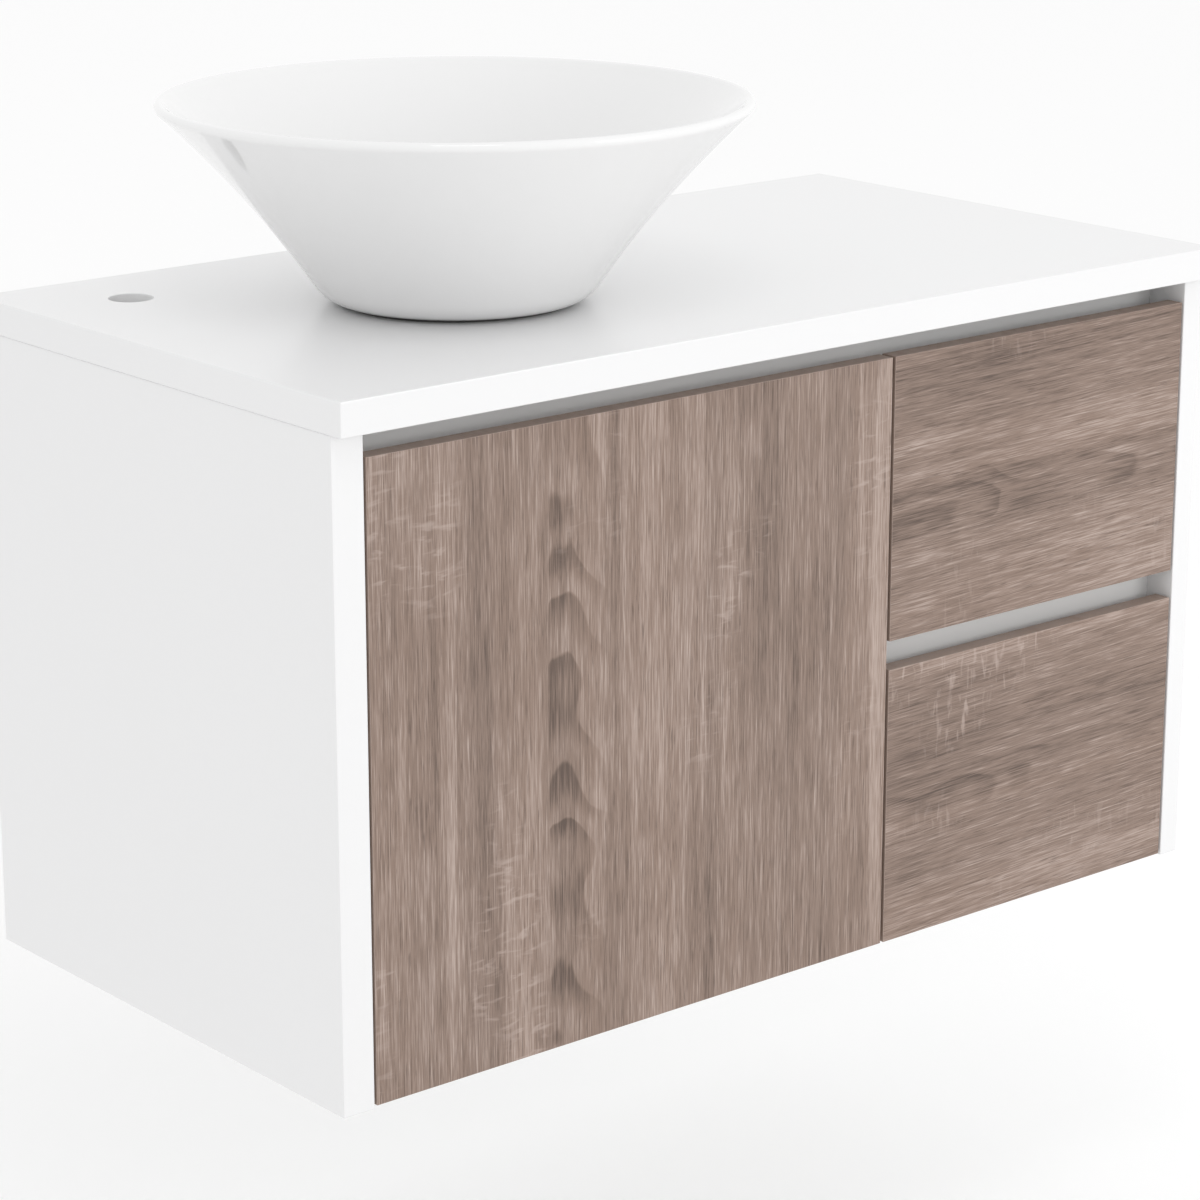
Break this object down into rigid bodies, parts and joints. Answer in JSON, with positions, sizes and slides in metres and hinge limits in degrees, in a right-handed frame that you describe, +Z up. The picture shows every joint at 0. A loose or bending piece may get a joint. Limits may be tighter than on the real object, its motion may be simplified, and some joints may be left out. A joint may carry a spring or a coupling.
{
  "type": "vanity with vessel sink",
  "caption": "Wall-hung white bathroom vanity with a wood-decor door, two drawers with finger gaps, and a round vessel basin on the countertop.",
  "frame": {"origin": "middle of the footprint at the underside of the cabinet; the countertop's outline is the footprint", "axes": "+X to the right when facing the doors, -Y out of the front, +Z up"},
  "size_m": [0.9, 0.483, 0.694],
  "materials": {
    "white_lacquer": "smooth white satin lacquer on board",
    "white_melamine": "smooth white melamine-faced board",
    "drawer_melamine": "plain white drawer board",
    "door_decor": "grey-brown oak decor, grain upright, flat edge band",
    "drawer_decor": "grey-brown oak decor, grain level, flat edge band",
    "white_glaze": "glossy white glaze",
    "black_rubber": "matte black",
    "clear_bumper": "translucent soft",
    "waste_chrome": "polished",
    "raw_brass": "turned, satin",
    "zinc_steel": "zinc plated",
    "nickel_steel": "nickel plated",
    "slide_steel": "zinc plated sheet",
    "cast_zinc": "die cast, matte"
  },
  "bodies": {
    "cabinet": {"countertop": "white_lacquer", "left_side_panel": "white_lacquer", "right_side_panel": "white_lacquer", "divider_panel": "white_melamine", "bottom_panel": "white_melamine", "top_front_rail": "white_melamine", "drawer_gap_rail": "white_melamine", "upper_back_rail": "white_melamine", "lower_back_rail": "white_melamine", "left_top_stretcher": "white_melamine", "right_top_stretcher": "white_melamine", "countertop_screws": "zinc_steel", "cam_locks": "cast_zinc", "cam_bolts": "zinc_steel", "hinge_plates": "nickel_steel", "hinge_plate_screws": "zinc_steel", "hinge_arms": "nickel_steel", "upper_left_outer_slide": "slide_steel", "upper_right_outer_slide": "slide_steel", "lower_left_outer_slide": "slide_steel", "lower_right_outer_slide": "slide_steel", "outer_slide_screws": "zinc_steel", "front_bumpers": "clear_bumper", "basin": "white_glaze", "basin_gasket": "black_rubber", "waste_body": "waste_chrome", "waste_washer": "black_rubber", "waste_locknut": "raw_brass", "waste_tail_pipe": "waste_chrome"},
    "door": {"door_panel": "door_decor", "hinge_cups": "nickel_steel", "hinge_cup_screws": "zinc_steel"},
    "upper_drawer": {"upper_drawer_front": "drawer_decor", "upper_drawer_left_side": "drawer_melamine", "upper_drawer_right_side": "drawer_melamine", "upper_drawer_back": "drawer_melamine", "upper_drawer_bottom": "drawer_melamine", "upper_left_inner_slide": "slide_steel", "upper_right_inner_slide": "slide_steel", "upper_front_screws": "zinc_steel"},
    "lower_drawer": {"lower_drawer_front": "drawer_decor", "lower_drawer_left_side": "drawer_melamine", "lower_drawer_right_side": "drawer_melamine", "lower_drawer_back": "drawer_melamine", "lower_drawer_bottom": "drawer_melamine", "lower_left_inner_slide": "slide_steel", "lower_right_inner_slide": "slide_steel", "lower_front_screws": "zinc_steel"},
    "waste_plug": {"waste_plug": "waste_chrome"},
    "upper_left_middle_slide": {"upper_left_middle_slide": "slide_steel"},
    "upper_right_middle_slide": {"upper_right_middle_slide": "slide_steel"},
    "lower_left_middle_slide": {"lower_left_middle_slide": "slide_steel"},
    "lower_right_middle_slide": {"lower_right_middle_slide": "slide_steel"}
  },
  "joints": [
    {"name": "door_hinge", "type": "hinge", "parent": "cabinet", "child": "door", "pos_m": [-0.419, -0.228, 0.246], "axis": [0, 0, -1], "range_deg": [0, 100]},
    {"name": "upper_drawer_slide", "type": "slide", "parent": "cabinet", "child": "upper_drawer", "axis": [0, -1, 0], "range_m": [0, 0.35]},
    {"name": "lower_drawer_slide", "type": "slide", "parent": "cabinet", "child": "lower_drawer", "axis": [0, -1, 0], "range_m": [0, 0.35]},
    {"name": "upper_left_middle_slide_travel", "type": "slide", "parent": "cabinet", "child": "upper_left_middle_slide", "axis": [0, -1, 0], "range_m": [0, 0.175]},
    {"name": "upper_right_middle_slide_travel", "type": "slide", "parent": "cabinet", "child": "upper_right_middle_slide", "axis": [0, -1, 0], "range_m": [0, 0.175]},
    {"name": "lower_left_middle_slide_travel", "type": "slide", "parent": "cabinet", "child": "lower_left_middle_slide", "axis": [0, -1, 0], "range_m": [0, 0.175]},
    {"name": "lower_right_middle_slide_travel", "type": "slide", "parent": "cabinet", "child": "lower_right_middle_slide", "axis": [0, -1, 0], "range_m": [0, 0.175]},
    {"name": "waste_plug_lift", "type": "slide", "parent": "cabinet", "child": "waste_plug", "axis": [0, 0, 1], "range_m": [0, 0.008]}
  ],
  "couplings": [
    {"joint": "upper_left_middle_slide_travel", "follows": "upper_drawer_slide", "ratio": 0.5},
    {"joint": "upper_right_middle_slide_travel", "follows": "upper_drawer_slide", "ratio": 0.5},
    {"joint": "lower_left_middle_slide_travel", "follows": "lower_drawer_slide", "ratio": 0.5},
    {"joint": "lower_right_middle_slide_travel", "follows": "lower_drawer_slide", "ratio": 0.5}
  ]
}
